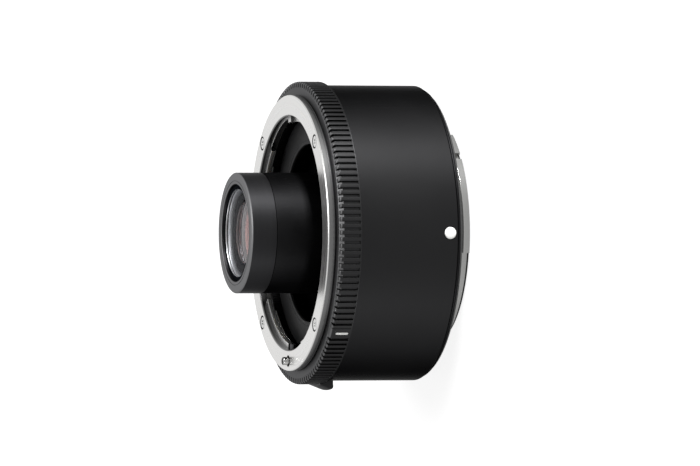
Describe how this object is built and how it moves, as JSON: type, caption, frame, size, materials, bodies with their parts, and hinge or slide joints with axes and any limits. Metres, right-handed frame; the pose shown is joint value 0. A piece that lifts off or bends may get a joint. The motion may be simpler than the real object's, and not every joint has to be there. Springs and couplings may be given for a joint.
{
  "type": "camera teleconverter",
  "caption": "Short round camera teleconverter with a female lens bayonet, a long front lens barrel, a ribbed grip ring, a sprung lock pin with its lever, and a male camera bayonet.",
  "frame": {"origin": "centre of the camera-side flange face", "axes": "+Z along the optical axis towards the lens, +X towards the camera mounting mark, which is the top of the mounted converter, -Y towards the release lever"},
  "size_m": [0.072, 0.0734, 0.05],
  "materials": {
    "bright_steel": "fine turned, satin",
    "screw_steel": "satin",
    "spring_steel": "plain",
    "black_barrel": "satin black",
    "black_grip": "satin black",
    "black_plastic": "matte",
    "black_alloy": "black anodised, matte",
    "grey_alloy": "dark grey anodised, satin",
    "white_paint": "gloss",
    "rubber": "matte",
    "glass": "coated",
    "gold_contact": "gold plated",
    "board_green": "solder mask",
    "amber_film": "film"
  },
  "bodies": {
    "converter_body": {"lens_side_mount_ring": "bright_steel", "lens_side_mount_screws": "screw_steel", "mount_leaf_springs": "spring_steel", "bayonet_stop_pin": "spring_steel", "grip_ring": "black_grip", "lens_mounting_mark": "white_paint", "main_barrel": "black_barrel", "camera_mounting_mark": "white_paint", "chassis": "black_alloy", "light_shield": "black_plastic", "front_barrel": "black_alloy", "front_ring": "grey_alloy", "front_retaining_ring": "black_alloy", "rear_lens_cell": "black_alloy", "camera_side_mount_ring": "bright_steel", "camera_side_mount_screws": "screw_steel", "rear_gasket": "rubber", "rear_shroud": "black_plastic", "lens_side_contact_block": "black_plastic", "contact_springs": "spring_steel", "camera_side_contact_block": "black_plastic", "contact_pads": "gold_contact", "circuit_board": "board_green", "lock_pin_spring": "spring_steel", "rear_retaining_ring": "black_alloy", "rear_spacer": "black_alloy", "front_flexible_lead": "amber_film", "rear_flexible_lead": "amber_film", "lens_1_front": "glass", "lens_2_pair_front": "glass", "lens_3_pair_rear": "glass", "lens_4_triplet_front": "glass", "lens_5_triplet_middle": "glass", "lens_6_triplet_rear": "glass", "lens_7_single": "glass", "lens_8_rear": "glass"},
    "release_lever": {"release_lever": "black_alloy", "lever_slide": "spring_steel"},
    "lock_pin": {"lock_pin": "bright_steel"},
    "contact_pin_01": {"contact_pin_01": "gold_contact"},
    "contact_pin_02": {"contact_pin_02": "gold_contact"},
    "contact_pin_03": {"contact_pin_03": "gold_contact"},
    "contact_pin_04": {"contact_pin_04": "gold_contact"},
    "contact_pin_05": {"contact_pin_05": "gold_contact"},
    "contact_pin_06": {"contact_pin_06": "gold_contact"},
    "contact_pin_07": {"contact_pin_07": "gold_contact"},
    "contact_pin_08": {"contact_pin_08": "gold_contact"},
    "contact_pin_09": {"contact_pin_09": "gold_contact"},
    "contact_pin_10": {"contact_pin_10": "gold_contact"},
    "contact_pin_11": {"contact_pin_11": "gold_contact"}
  },
  "joints": [
    {"name": "release_lever_slide", "type": "slide", "parent": "converter_body", "child": "release_lever", "axis": [0, 0, -1], "range_m": [0, 0.0016], "stiffness_N_per_m": 300, "springref_m": -0.003},
    {"name": "lock_pin_slide", "type": "slide", "parent": "converter_body", "child": "lock_pin", "axis": [0, 0, -1], "range_m": [0, 0.0016], "stiffness_N_per_m": 300, "springref_m": -0.003, "deforming": ["lock_pin_spring"]},
    {"name": "contact_pin_01_slide", "type": "slide", "parent": "converter_body", "child": "contact_pin_01", "axis": [0, 0, -1], "range_m": [0, 0.0009], "stiffness_N_per_m": 150, "springref_m": -0.0012, "deforming": ["contact_springs"]},
    {"name": "contact_pin_02_slide", "type": "slide", "parent": "converter_body", "child": "contact_pin_02", "axis": [0, 0, -1], "range_m": [0, 0.0009], "stiffness_N_per_m": 150, "springref_m": -0.0012, "deforming": ["contact_springs"]},
    {"name": "contact_pin_03_slide", "type": "slide", "parent": "converter_body", "child": "contact_pin_03", "axis": [0, 0, -1], "range_m": [0, 0.0009], "stiffness_N_per_m": 150, "springref_m": -0.0012, "deforming": ["contact_springs"]},
    {"name": "contact_pin_04_slide", "type": "slide", "parent": "converter_body", "child": "contact_pin_04", "axis": [0, 0, -1], "range_m": [0, 0.0009], "stiffness_N_per_m": 150, "springref_m": -0.0012, "deforming": ["contact_springs"]},
    {"name": "contact_pin_05_slide", "type": "slide", "parent": "converter_body", "child": "contact_pin_05", "axis": [0, 0, -1], "range_m": [0, 0.0009], "stiffness_N_per_m": 150, "springref_m": -0.0012, "deforming": ["contact_springs"]},
    {"name": "contact_pin_06_slide", "type": "slide", "parent": "converter_body", "child": "contact_pin_06", "axis": [0, 0, -1], "range_m": [0, 0.0009], "stiffness_N_per_m": 150, "springref_m": -0.0012, "deforming": ["contact_springs"]},
    {"name": "contact_pin_07_slide", "type": "slide", "parent": "converter_body", "child": "contact_pin_07", "axis": [0, 0, -1], "range_m": [0, 0.0009], "stiffness_N_per_m": 150, "springref_m": -0.0012, "deforming": ["contact_springs"]},
    {"name": "contact_pin_08_slide", "type": "slide", "parent": "converter_body", "child": "contact_pin_08", "axis": [0, 0, -1], "range_m": [0, 0.0009], "stiffness_N_per_m": 150, "springref_m": -0.0012, "deforming": ["contact_springs"]},
    {"name": "contact_pin_09_slide", "type": "slide", "parent": "converter_body", "child": "contact_pin_09", "axis": [0, 0, -1], "range_m": [0, 0.0009], "stiffness_N_per_m": 150, "springref_m": -0.0012, "deforming": ["contact_springs"]},
    {"name": "contact_pin_10_slide", "type": "slide", "parent": "converter_body", "child": "contact_pin_10", "axis": [0, 0, -1], "range_m": [0, 0.0009], "stiffness_N_per_m": 150, "springref_m": -0.0012, "deforming": ["contact_springs"]},
    {"name": "contact_pin_11_slide", "type": "slide", "parent": "converter_body", "child": "contact_pin_11", "axis": [0, 0, -1], "range_m": [0, 0.0009], "stiffness_N_per_m": 150, "springref_m": -0.0012, "deforming": ["contact_springs"]}
  ],
  "couplings": [
    {"joint": "lock_pin_slide", "follows": "release_lever_slide", "ratio": 1}
  ]
}
